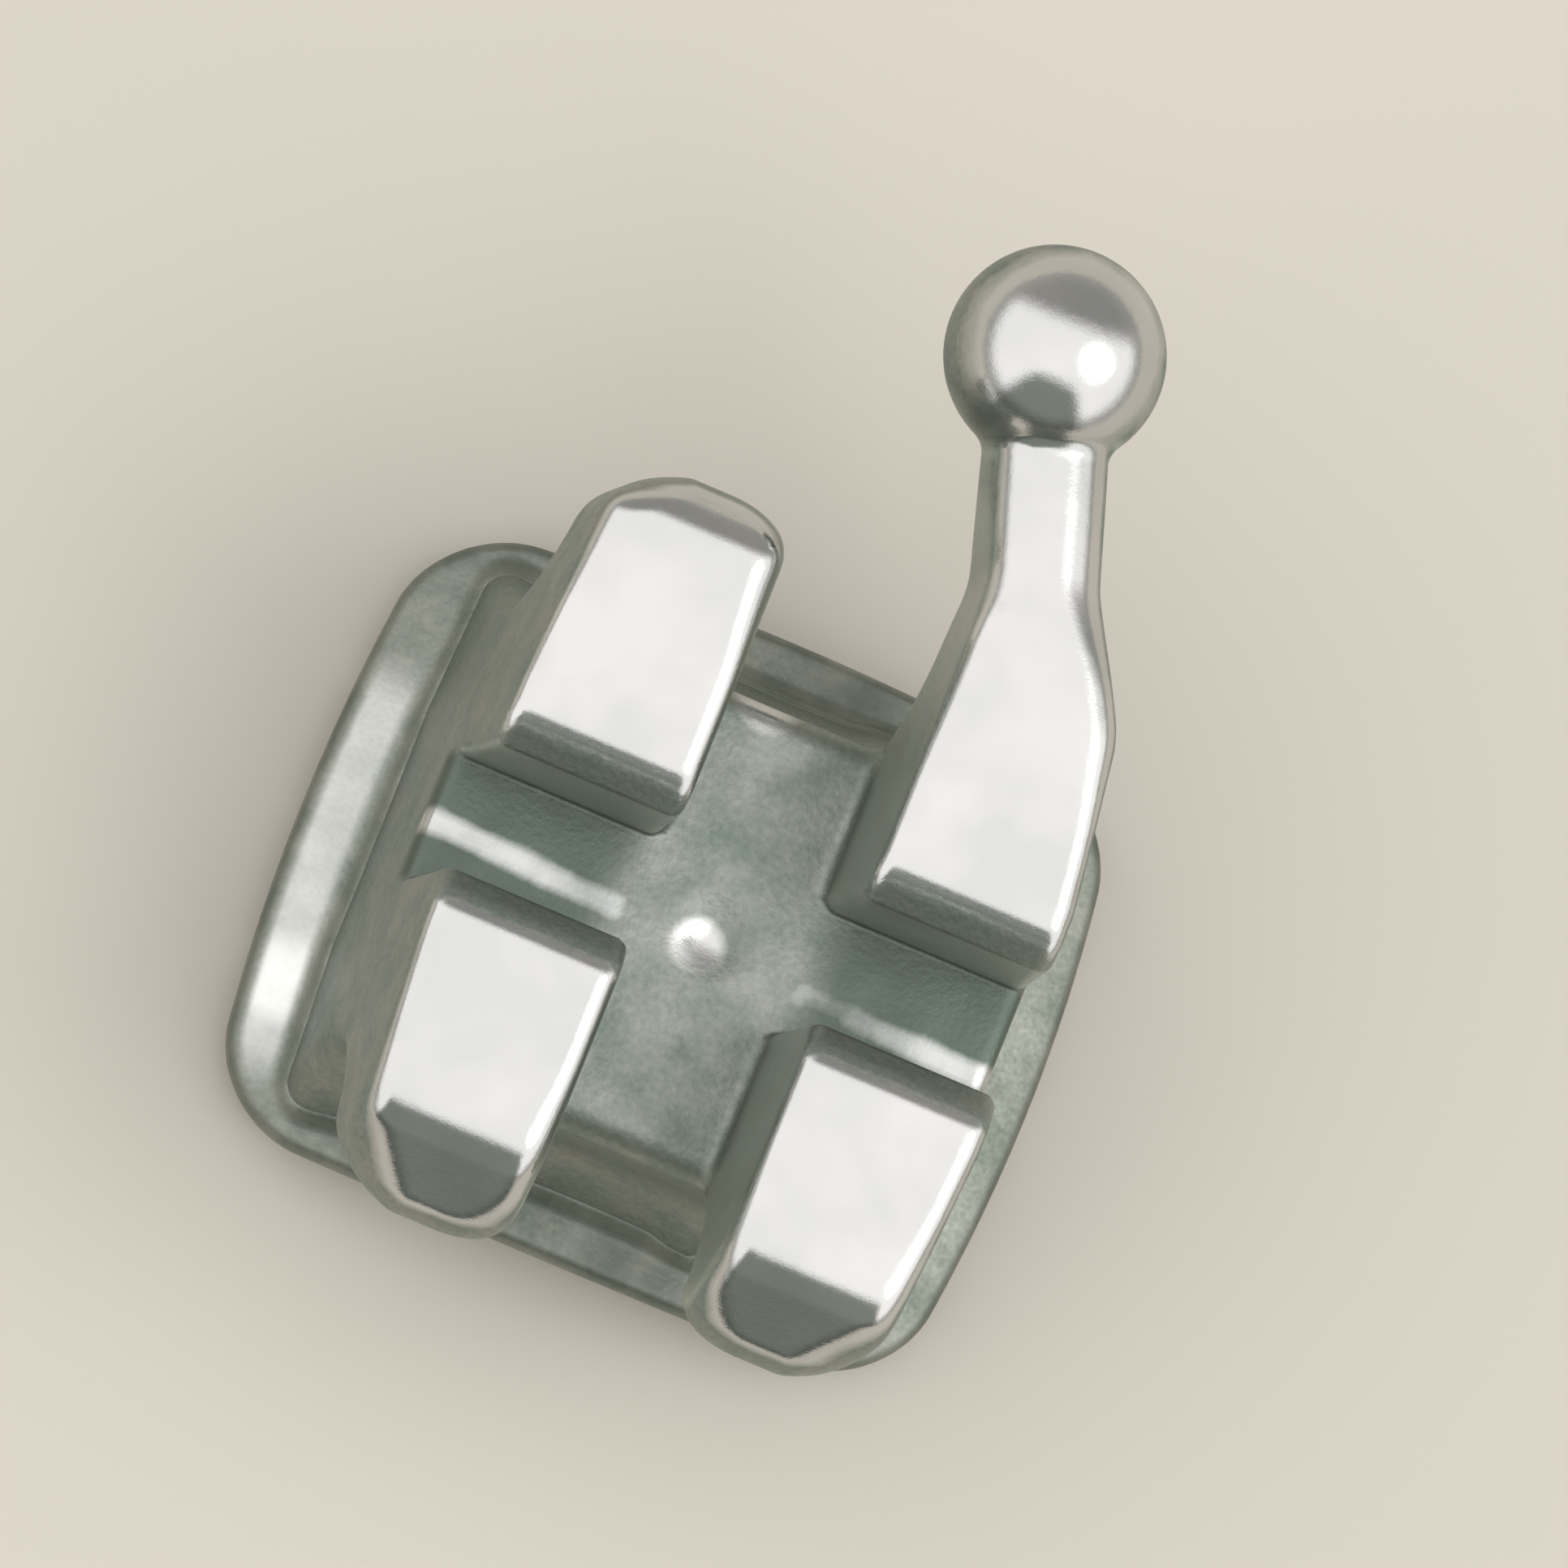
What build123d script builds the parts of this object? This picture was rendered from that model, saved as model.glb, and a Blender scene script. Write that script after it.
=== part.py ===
from build123d import *
from math import sqrt
import os

# A twin edgewise orthodontic bracket for an upper left second premolar, with a ball hook.
# +X is distal and runs along the archwire slot, +Y is towards the gum, +Z points out of the tooth.
# The origin lies on the plane that the corners of the base stand on, straight under the dimple.

INCH = 25.4

# Archwire slot
slot_height = 0.022 * INCH
slot_depth = 0.028 * INCH
lead_in = 0.13
slot_floor_height = 0.80

# Casting, seen from the front
body_width = 2.54
channel_width = 0.84
flank_length = 1.10
flank_round = 0.60
flank_taper = 0.06
tip_corner_reach = 1.42
tip_corner_cut = 0.30
tip_corner_round = 0.20
draft_angle = 3.0

# Casting, seen along the slot
occlusal_roll_start = 1.24
occlusal_facet = 0.34
gingival_roll_start = 1.40
gingival_facet = 0.08
arm_roll_start = 1.02
roll_radius = 0.18
roll_angle = 42.0
groove_reach = 1.55
groove_radius = 0.55
groove_height = 0.45
groove_turn = 115.0
foot_run = 0.75
saddle_round = 0.12
edge_round = 0.08

# Dimple in the middle of the saddle
dimple_width = 0.32
dimple_depth = 0.04

# Hook on the wing towards the gum and the back of the mouth
ball_diameter = 0.94
ball_lean = 0.30
ball_reach = 2.74
ball_height = 1.36
arm_width = 0.48
arm_thickness = 0.44
arm_root_taper = 0.10
arm_root_reach = 1.32
neck_inset = 0.23
neck_reach = 1.80
neck_round = 0.50

# Base: a curved foil with a woven mesh bonded under it
pad_width = 3.36
pad_height = 2.84
pad_side_bow = 0.12
pad_end_bow = 0.05
pad_corner = 0.40
mesiodistal_radius = 4.80
occlusogingival_radius = 9.00
foil_thickness = 0.10
weave_thickness = 0.12
ridge_height = 0.05
mesh_pitch = 0.3175
wire_width = 0.14
mesh_rim = 0.10

# Places across the slot, of the hook's neck and of its ball
neck_shift = channel_width / 2 + neck_inset
ball_shift = neck_shift - ball_lean

# Heights above the inner apex of the base, before the whole is set down on its corners
foil_z = ridge_height + weave_thickness
seat_z = foil_z + foil_thickness
floor_z = seat_z + slot_floor_height
face_z = floor_z + slot_depth + lead_in
groove_z = seat_z + groove_height
ball_z = seat_z + ball_height

# Angles: the least turn of an edge that is worn round, and how far the tooth's front is followed
sharp_angle = 20.0
tooth_arc = 90.0
tooth_turn = 40.0

# Fineness: places sampled along the base's rim, and the area that counts as none
rim_samples = 720
no_area = 1e-6


def tooth_height(x, y):
    """The height of the tooth's front at a place seen from the front, from the apex downwards."""
    from_axis = occlusogingival_radius - mesiodistal_radius + sqrt(mesiodistal_radius**2 - x**2)
    return sqrt(from_axis**2 - y**2) - occlusogingival_radius


def tooth(clearance):
    """The tooth's rounded front, grown by a clearance, as a solid that shapes the base's curved faces."""
    minor = mesiodistal_radius + clearance
    arc = CenterArc((0, clearance - minor), minor, 90 - tooth_arc / 2, tooth_arc)
    side, low = (arc @ 0).X, (arc @ 0).Y - pad_width
    section = Plane.XZ * make_face([arc, Polyline(arc @ 0, (side, low), (-side, low), arc @ 1)])
    axis = Axis((0, 0, -occlusogingival_radius), (1, 0, 0))
    return revolve(section.rotate(axis, -tooth_turn / 2), axis, tooth_turn)


def pad_outline():
    """The base seen from the front: a rectangle with bowed sides and round corners."""
    side, end = pad_width / 2, pad_height / 2
    corner_x, corner_y = side - pad_side_bow, end - pad_end_bow
    distal = ThreePointArc((corner_x, -corner_y), (side, 0), (corner_x, corner_y))
    gingival = ThreePointArc((corner_x, corner_y), (0, end), (-corner_x, corner_y))
    mesial = ThreePointArc((-corner_x, corner_y), (-side, 0), (-corner_x, -corner_y))
    occlusal = ThreePointArc((-corner_x, -corner_y), (0, -end), (corner_x, -corner_y))
    face = make_face([distal, gingival, mesial, occlusal])
    return fillet(face.vertices(), pad_corner)


def layer(lower, upper, outline):
    """What lies between two clearances from the tooth, inside an outline seen from the front."""
    column = extrude(outline, face_z, both=True)
    return (column & tooth(upper)) - tooth(lower)


def groove(start_angle):
    """The round ligature groove under a wing, from a given angle on it down to where the foot begins."""
    end_angle = 90 + groove_turn
    return CenterArc((groove_reach, groove_z), groove_radius, start_angle, end_angle - start_angle)


def half_section(front, arc):
    """Half of a section along the slot: its front, a ligature groove and the foot out over the base."""
    toe = (arc @ 1) + (arc % 1) * foot_run
    return make_face([*front, arc, Polyline(arc @ 1, toe, (0, toe.Y), front[0] @ 0)])


def wing_section(roll_start, facet_length):
    """A wing whose front rolls over into a sloping facet that ends in a round tip."""
    roll = CenterArc((roll_start, face_z - roll_radius), roll_radius, 90, -roll_angle)
    facet = Line(roll @ 1, (roll @ 1) + (roll % 1) * facet_length)
    arc = groove(90)
    tip = TangentArc(facet @ 1, arc @ 0, tangent=roll % 1)
    return half_section([Line((0, face_z), roll @ 0), roll, facet, tip], arc)


def hook_section():
    """The wing whose front runs on into the hook's arm, as far as the middle of the ball."""
    arc = groove(90)
    arm_top = (ball_reach, ball_z + arm_thickness / 2)
    arm_bottom = (ball_reach, ball_z - arm_thickness / 2)
    front = Line((0, face_z), (arm_roll_start, face_z))
    top = TangentArc(front @ 1, arm_top, tangent=front % 1)
    underside = TangentArc(arc @ 0, arm_bottom, tangent=front % 1)
    return half_section([front, top, Line(arm_top, arm_bottom), underside], arc)


def saddle_section():
    """The channel, where a low saddle at the slot floor's height joins the two pairs of wings."""
    arc = groove(180)
    shoulder = CenterArc(((arc @ 0).X - saddle_round, floor_z - saddle_round), saddle_round, 90, -90)
    return half_section([Line((0, floor_z), shoulder @ 0), shoulder, Line(shoulder @ 1, arc @ 0)], arc)


def along_slot(occlusal_half, gingival_half, width):
    """Two halves of a section, carried half a width to either side along the slot."""
    whole = mirror(occlusal_half, about=Plane.YZ) + gingival_half
    return extrude(Plane.YZ * whole, width / 2, both=True)


def pair_outline(gingival_points, gingival_rounds):
    """A pair of wings seen from the front at face height, from its occlusal tip round to the given points."""
    inner, outer = channel_width / 2, body_width / 2
    tip, tip_end = outer - flank_taper, -tip_corner_reach - tip_corner_cut
    points = [(inner, tip_end), (tip - tip_corner_cut, tip_end), (tip, -tip_corner_reach),
              (outer, -flank_length / 2), (outer, flank_length / 2), *gingival_points]
    rounds = [0, 0, tip_corner_round, flank_round, flank_round, *gingival_rounds]
    return make_face(FilletPolyline(*points, radius=rounds, close=True))


def plain_outline():
    """The mesial pair, whose gingival wing ends like its occlusal one."""
    tip, tip_end = body_width / 2 - flank_taper, tip_corner_reach + tip_corner_cut
    points = [(tip, tip_corner_reach), (tip - tip_corner_cut, tip_end), (channel_width / 2, tip_end)]
    return pair_outline(points, [tip_corner_round, 0, 0])


def hooked_outline():
    """The distal pair, whose gingival wing narrows at a neck into an arm that leans over to the ball."""
    lean = Vector(ball_shift - neck_shift, ball_reach - neck_reach).normalized()
    side = Vector(lean.Y, -lean.X) * arm_width / 2
    neck = Vector(neck_shift, neck_reach)
    past_ball = Vector(ball_shift, ball_reach) + lean * arm_width
    corners = [neck + side, past_ball + side, past_ball - side, neck - side]
    points = [(body_width / 2 - arm_root_taper, arm_root_reach), *((c.X, c.Y) for c in corners)]
    return pair_outline(points, [neck_round, neck_round, 0, 0, neck_round])


def envelope(outline):
    """A pair's outline with the draft of its mould, from the wings' faces down past the base."""
    return Pos(0, 0, face_z) * extrude(outline, -2 * face_z, taper=-draft_angle)


def polished(pair):
    """A pair of wings with every sharp edge above the base worn round by the tumbling."""
    faces_of = {}
    for face in pair.faces():
        for edge in face.edges():
            faces_of.setdefault(edge, []).append(face)
    sharp = []
    for edge, faces in faces_of.items():
        middle = edge @ 0.5
        turn = faces[0].normal_at(middle).get_angle(faces[-1].normal_at(middle))
        if turn > sharp_angle and middle.Z > seat_z and middle.Y < ball_reach - edge_round:
            sharp.append(edge)
    return fillet(sharp, edge_round)


def slot_cutter():
    """The archwire slot with its flared mouth, cut through both pairs from end to end."""
    low, high, mouth = slot_height / 2, slot_height / 2 + lead_in, face_z + lead_in
    half = make_face(Polyline((0, floor_z), (low, floor_z), (low, floor_z + slot_depth), (high, face_z),
                              (high, mouth), (0, mouth), close=True))
    return along_slot(half, half, 2 * body_width)


def dimple_cutter():
    """The ball that presses the dimple into the saddle, from the dimple's width and depth."""
    radius = (dimple_width**2 / 4 + dimple_depth**2) / (2 * dimple_depth)
    return Pos(0, 0, floor_z + radius - dimple_depth) * Sphere(radius)


def bracket_body():
    """The one-piece casting: two pairs of wings, the saddle between them and the ball hook."""
    occlusal_wing = wing_section(occlusal_roll_start, occlusal_facet)
    gingival_wing = wing_section(gingival_roll_start, gingival_facet)
    mesial = along_slot(occlusal_wing, gingival_wing, 2 * body_width)
    mesial = polished(mesial & mirror(envelope(plain_outline()), about=Plane.YZ))
    distal = along_slot(occlusal_wing, hook_section(), 2 * body_width)
    distal = polished(distal & envelope(hooked_outline()))
    saddle = along_slot(saddle_section(), saddle_section(), channel_width + 2 * edge_round)
    ball = Pos(ball_shift, ball_reach, ball_z) * Sphere(ball_diameter / 2)
    casting = mesial + distal + saddle + ball
    return casting - slot_cutter() - dimple_cutter() - tooth(seat_z)


def base_pad():
    """The thin foil that the casting is brazed to."""
    return layer(foil_z, seat_z, pad_outline())


def gap_places():
    """The middles of the weave's gaps, as far as whole gaps fit inside the mesh's closed rim."""
    inside = offset(pad_outline(), -mesh_rim)
    gap = mesh_pitch - wire_width
    columns, rows = int(pad_width / mesh_pitch / 2), int(pad_height / mesh_pitch / 2)
    places = []
    for column in range(-columns, columns):
        for row in range(-rows, rows):
            place = Pos((column + 0.5) * mesh_pitch, (row + 0.5) * mesh_pitch)
            square = place * Rectangle(gap, gap)
            if (square - inside).area < no_area:
                places.append(place)
    return places


def base_mesh():
    """The mesh as one woven wall: gaps between crossing wires, and ridges where one set stands proud."""
    outline = pad_outline()
    gap = mesh_pitch - wire_width
    places = gap_places()
    gaps = Sketch() + [place * Rectangle(gap, gap) for place in places]
    valleys = Sketch() + [place * Rectangle(mesh_pitch, gap) for place in places]
    return layer(ridge_height, foil_z, outline - gaps) + layer(0, ridge_height, outline - valleys)


os.makedirs("parts", exist_ok=True)
rim = pad_outline().face().outer_wire()
lowest = min(tooth_height(p.X, p.Y) for p in [rim @ (step / rim_samples) for step in range(rim_samples)])
for name, piece in (("bracket_body", bracket_body()), ("base_pad", base_pad()), ("base_mesh", base_mesh())):
    export_step(Pos(0, 0, -lowest) * piece, f"parts/{name}.step")
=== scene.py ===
# %% [markdown]
# # An orthodontic bracket with a ball hook
# The bracket is a steel part five millimetres long that is glued to a tooth and holds an archwire. It
# has three pieces: a one-piece casting with four tie wings, a thin foil, and a woven wire mesh under
# the foil that the adhesive flows into. They give the frame, and every finished piece replaces one.

# %% Load the frame
import bpy
import numpy as np
from mathutils import Matrix, Vector


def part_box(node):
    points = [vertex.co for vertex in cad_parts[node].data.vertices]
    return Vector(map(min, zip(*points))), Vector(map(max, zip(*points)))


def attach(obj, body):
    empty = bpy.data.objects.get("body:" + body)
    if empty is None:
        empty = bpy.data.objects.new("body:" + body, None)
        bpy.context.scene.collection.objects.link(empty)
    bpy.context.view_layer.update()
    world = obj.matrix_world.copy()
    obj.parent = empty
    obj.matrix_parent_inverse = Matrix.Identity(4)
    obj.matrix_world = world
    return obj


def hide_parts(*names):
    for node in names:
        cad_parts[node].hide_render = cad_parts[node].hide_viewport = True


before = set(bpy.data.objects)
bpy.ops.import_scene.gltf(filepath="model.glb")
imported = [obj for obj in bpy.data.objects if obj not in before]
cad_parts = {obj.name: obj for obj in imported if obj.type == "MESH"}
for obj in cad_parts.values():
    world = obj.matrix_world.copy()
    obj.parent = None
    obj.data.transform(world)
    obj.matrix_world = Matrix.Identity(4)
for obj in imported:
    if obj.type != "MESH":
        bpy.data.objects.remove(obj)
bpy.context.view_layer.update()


# %% [markdown]
# ## Sizes
# All shapes are worked out in millimetres, with +X along the slot, +Y towards the gum and +Z out of the
# tooth, and go into the meshes in metres. The sizes are the same as those of the solids, with the wear of
# the tumbling added. The height of the seat, where the casting stands on the foil, is measured.

# %% Sizes of the bracket
MM = 0.001
slot_height, slot_depth, lead_in, slot_floor_height = 0.5588, 0.7112, 0.13, 0.80
body_width, channel_width = 2.54, 0.84
flank_length, flank_round, flank_taper = 1.10, 0.60, 0.06
tip_reach, tip_cut, tip_round = 1.42, 0.30, 0.20
draft = np.radians(3.0)
occlusal_roll_start, occlusal_facet, gingival_roll_start, gingival_facet = 1.24, 0.34, 1.40, 0.08
arm_roll_start, roll_radius, roll_angle = 1.02, 0.18, 42.0
groove_reach, groove_radius, groove_height, groove_turn = 1.55, 0.55, 0.45, 115.0
foot_run, saddle_round, edge_round = 0.75, 0.12, 0.08
dimple_width, dimple_depth = 0.32, 0.04
ball_diameter, ball_shift, ball_reach, ball_height = 0.94, 0.35, 2.74, 1.36
arm_width, arm_thickness, arm_root_taper, arm_root_reach = 0.48, 0.44, 0.10, 1.32
neck_shift, neck_reach, neck_round = 0.65, 1.80, 0.50
pad_width, pad_height, side_bow, end_bow, pad_corner = 3.36, 2.84, 0.12, 0.05, 0.40
tooth_minor, tooth_major = 4.80, 9.00
foil_thickness, weave_thickness, mesh_pitch, wire_width = 0.10, 0.17, 0.3175, 0.14

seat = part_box("base_pad")[1].z / MM
apex = seat - foil_thickness - weave_thickness
floor_z = seat + slot_floor_height
face_z = floor_z + slot_depth + lead_in
groove_z = seat + groove_height
ball_z = seat + ball_height
print("seat at", round(seat, 4), "slot floor at", round(floor_z, 4), "wing faces at", round(face_z, 4), "mm")

# %% [markdown]
# ## Outlines
# The casting's outlines are lines and arcs, as a toolmaker draws them. Each helper returns its points as
# one array, a point every two degrees of arc, so that the curves look smooth close up.

# %% Arcs and rounded corners
fine_turn = 2.0


def arc(centre, radius, start, turn):
    """Centre plus radius times (cos a, sin a), with the angle a going from start through turn, in degrees."""
    angles = np.radians(np.linspace(start, start + turn, int(abs(turn) / fine_turn) + 2))
    return np.array(centre) + radius * np.stack([np.cos(angles), np.sin(angles)], axis=1)


def tangent_arc(start, direction, end):
    """The arc from start to end that leaves start in a direction: its radius is the chord squared over
    twice the chord's part across the direction, and its centre lies that far to the left."""
    start, chord = np.array(start, float), np.subtract(end, start)
    left = np.array([-direction[1], direction[0]]) / np.hypot(*direction)
    radius = chord @ chord / (2 * left @ chord)
    centre = start + radius * left
    first, last = (np.degrees(np.arctan2(*(p - centre)[::-1])) for p in (start, start + chord))
    turn = (last - first) % 360 if radius > 0 else (last - first) % 360 - 360
    return arc(centre, abs(radius), first, turn)


def rounded(corners, radii):
    """A closed outline whose corners are rounded: each arc touches both sides, so its ends lie the radius
    times the tangent of half the turn away from the corner."""
    corners = np.array(corners, float)
    pieces = []
    for before, corner, after, radius in zip(np.roll(corners, 1, 0), corners, np.roll(corners, -1, 0), radii):
        into, out = corner - before, after - corner
        into, out = into / np.hypot(*into), out / np.hypot(*out)
        turn = np.arctan2(into[0] * out[1] - into[1] * out[0], into @ out)
        start = corner - into * radius * np.tan(abs(turn) / 2)
        side = np.array([-into[1], into[0]]) * np.sign(turn)
        centre = start + side * radius
        first = np.degrees(np.arctan2(*(start - centre)[::-1]))
        pieces.append(arc(centre, radius, first, np.degrees(turn)) if radius else corner[None])
    return np.concatenate(pieces)


# %% [markdown]
# ## The casting's sections
# Seen along the slot, each pair of wings is a T: a flat face that rolls down to round tips, a round
# ligature groove under each tip, and a foot that spreads over the foil. On the hook's side the face runs
# on into the arm. Half a section is drawn towards the gum and the other half is its mirror image.

# %% Sections along the slot
deep = apex - 0.3


def half_section(front, groove_start):
    """The front's points, the groove under it from an angle on, the straight foot, and a far corner below."""
    under = arc((groove_reach, groove_z), groove_radius, groove_start, 90 + groove_turn - groove_start)
    along = under[-1] - under[-2]
    toe = under[-1] + along / np.hypot(*along) * foot_run
    return np.concatenate([front, under, [toe, (toe[0], deep)]])


def whole_section(occlusal_half, gingival_half):
    """One closed outline: a half as it is, and another with its first coordinate turned over."""
    return np.concatenate([gingival_half, (occlusal_half * (-1, 1))[::-1]])


groove_top = (groove_reach, groove_z + groove_radius)


def wing_half(roll_start, facet, worn_radius):
    """A roll, a facet and a round tip. A worn roll has a wider radius between the same two flats, so it
    starts and ends further out by the radius's growth times the tangent of half the roll's angle."""
    growth = (worn_radius - roll_radius) * np.tan(np.radians(roll_angle / 2))
    roll = arc((roll_start - growth, face_z - worn_radius), worn_radius, 90, -roll_angle)
    way = np.array([np.cos(np.radians(roll_angle)), -np.sin(np.radians(roll_angle))])
    tip = tangent_arc(roll[-1] + way * (facet - growth), way, groove_top)
    return half_section(np.concatenate([roll, tip]), 90)


occlusal_half = wing_half(occlusal_roll_start, occlusal_facet, 0.32)
gingival_half = wing_half(gingival_roll_start, gingival_facet, 0.22)

arm_top = (ball_reach, ball_z + arm_thickness / 2)
arm_bottom = (ball_reach, ball_z - arm_thickness / 2)
arm_front = tangent_arc((arm_roll_start, face_z), (1, 0), arm_top)
arm_under = tangent_arc(groove_top, (1, 0), arm_bottom)[::-1]
hook_half = half_section(np.concatenate([arm_front, arm_under]), 90)

shoulder = arc((groove_reach - groove_radius - saddle_round, floor_z - saddle_round), saddle_round, 90, -90)
saddle_half = half_section(shoulder, 180)

mesial_section = whole_section(occlusal_half, gingival_half)
distal_section = whole_section(occlusal_half, hook_half)
saddle_section = whole_section(saddle_half, saddle_half)
low, high = slot_height / 2, slot_height / 2 + lead_in
slot_half = np.array([(low, floor_z), (low, floor_z + slot_depth), (high, face_z), (high, face_z + lead_in)])
slot_section = whole_section(slot_half, slot_half)
print(len(mesial_section), "points in a wing section,", len(distal_section), "in the hooked one")

# %% [markdown]
# ## The casting's outlines from the front
# From the front each pair of wings is a tall bar with a bowed outer side and cut, rounded corners. The
# hooked bar narrows at a neck into the arm that leans over to the ball.

# %% Outlines from the front
inner, outer = channel_width / 2, body_width / 2
inner_tip_round = 0.28
tip, tip_end = outer - flank_taper, tip_reach + tip_cut
lower_points = [(inner, -tip_end), (tip - tip_cut, -tip_end), (tip, -tip_reach), (outer, -flank_length / 2),
                (outer, flank_length / 2)]
lower_rounds = [inner_tip_round, 0, tip_round, flank_round, flank_round]
plain_outline = rounded(lower_points + [(tip, tip_reach), (tip - tip_cut, tip_end), (inner, tip_end)],
                        lower_rounds + [tip_round, 0, inner_tip_round])

neck, ball_middle = np.array([neck_shift, neck_reach]), np.array([ball_shift, ball_reach])
lean = (ball_middle - neck) / np.hypot(*(ball_middle - neck))
side = np.array([lean[1], -lean[0]]) * arm_width / 2
past_ball = ball_middle + lean * arm_width
arm_root = (outer - arm_root_taper, arm_root_reach)
arm_points = [arm_root, tuple(neck + side), tuple(past_ball + side), tuple(past_ball - side), tuple(neck - side)]
hooked_outline = rounded(lower_points + arm_points, lower_rounds + [neck_round, neck_round, 0, 0, neck_round])
print("the arm leans", round(float(np.degrees(np.arctan2(-lean[0], lean[1]))), 1), "degrees")

# %% [markdown]
# ## The casting as a field
# The real casting is moulded in one go and then tumbled, so its parts run into each other and every edge
# is worn round. Separate surfaces would meet in hard creases, so the casting is worked out as a field: a
# number at every place that is negative inside the metal, positive outside and zero on the skin, and
# about as large as the distance to the skin. Joining two fields with a small round is then one formula.

# %% Distances and joins


def distance_to(across, up, outline):
    """The distance to the nearest of the outline's edges, each of which is a place at a share t of the way
    from its start to its end with t kept within 0 and 1. It is negative where a ray crosses an odd count."""
    nearest = np.full(np.broadcast(across, up).shape, np.inf)
    inside = np.zeros(nearest.shape, bool)
    for (ax, ay), (bx, by) in zip(outline, np.roll(outline, -1, 0)):
        ex, ey = bx - ax, by - ay
        if ex * ex + ey * ey == 0:
            continue
        t = np.clip(((across - ax) * ex + (up - ay) * ey) / (ex * ex + ey * ey), 0, 1)
        nearest = np.minimum(nearest, (across - ax - t * ex) ** 2 + (up - ay - t * ey) ** 2)
        if ey:
            crosses = (ay > up) != (by > up)
            inside ^= crosses & (across < ax + (up - ay) * ex / ey)
    return np.sqrt(nearest) * np.where(inside, -1, 1)


def both(a, b, radius):
    """What lies in both fields, with the edge between them rounded: the length of the two distances past
    the round's centre lines, less the radius."""
    rounded_off = np.hypot(np.maximum(a + radius, 0), np.maximum(b + radius, 0)) - radius
    return np.where(np.maximum(a, b) < -radius, np.maximum(a, b), rounded_off)


def either(a, b, radius):
    """What lies in one field or the other, with the inner corner filled by a round: both, turned inside out."""
    return -both(-a, -b, radius)


def smooth(share):
    """A share held within 0 and 1 and eased at both ends: three times its square less twice its cube."""
    share = np.clip(share, 0, 1)
    return share**2 * (3 - 2 * share)


def past(value, start, width):
    """A border in a value: 0 up to its start, 1 from a width further on, and eased in between."""
    return smooth((value - start) / width)


def short_of(value, end, width):
    """The same border the other way round: 0 from its end on, and 1 below it by a width or more."""
    return smooth((end - value) / width)


def tooth_distance(x, y, z):
    """The distance from the tooth's front, a ring bent round a far axis: the length of x and of the
    distance to the ring's middle line, less the ring's own radius."""
    from_ring = np.hypot(y, z - apex + tooth_major) - (tooth_major - tooth_minor)
    return np.hypot(x, from_ring) - tooth_minor


# %% [markdown]
# The whole casting is then one formula of places. The real part's edges aren't all worn alike: the wings'
# tips and the arm are rounder than the rest, the slot's mouth is crisp, and small fillets run where the
# wings stand on the saddle and where the ball sits on its arm.

# %% The whole casting
# The radii of the fillets and worn edges, and how much rounder the tips and the arm are, in millimetres.
saddle_fill, ball_fill, lip_round, dimple_round, tip_wear, arm_wear = 0.06, 0.04, 0.06, 0.03, 0.05, 0.08
ball_sphere = dimple_width**2 / (8 * dimple_depth) + dimple_depth / 2


def pair_field(x, y, z, section, outline):
    """A section carried along x, cut by an outline that grows with the depth by the draft's tangent."""
    cut = (distance_to(x, y, outline) - (face_z - z) * np.tan(draft)) * np.cos(draft)
    worn = edge_round + tip_wear * past(np.abs(y), 0.8, 0.6) + arm_wear * past(y, 1.45, 0.4)
    return both(distance_to(y, z, section), cut, worn)


def casting_field(x, y, z):
    """Two pairs of wings less the slot, joined with the saddle and the ball, less the dimple and the tooth."""
    wings = np.minimum(pair_field(-x, y, z, mesial_section, plain_outline),
                       pair_field(x, y, z, distal_section, hooked_outline))
    wings = both(wings, -distance_to(y, z, slot_section), lip_round)
    saddle = np.maximum(distance_to(y, z, saddle_section), np.abs(x) - inner - edge_round)
    fill = saddle_fill * past(np.abs(y), slot_height / 2, saddle_fill)
    ball = np.sqrt((x - ball_shift) ** 2 + (y - ball_reach) ** 2 + (z - ball_z) ** 2) - ball_diameter / 2
    metal = either(either(wings, saddle, fill), ball, ball_fill)
    dimple = np.sqrt(x**2 + y**2 + (z - floor_z - ball_sphere + dimple_depth) ** 2) - ball_sphere
    metal = both(metal, -dimple, dimple_round)
    return np.maximum(metal, foil_thickness + weave_thickness - tooth_distance(x, y, z))


# %% [markdown]
# ## From the field to a mesh
# The skin is read off the field on a grid of small cells. Each cell that the skin passes through gets one
# point, at the mean of the places where the skin cuts the cell's edges, and each grid edge that the skin
# cuts gets one four-sided face between the four cells round it. Then every point slides down the field's
# slope until the field is zero there, which makes flat faces flat and rounds round.

# %% A net over the field's skin


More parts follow.
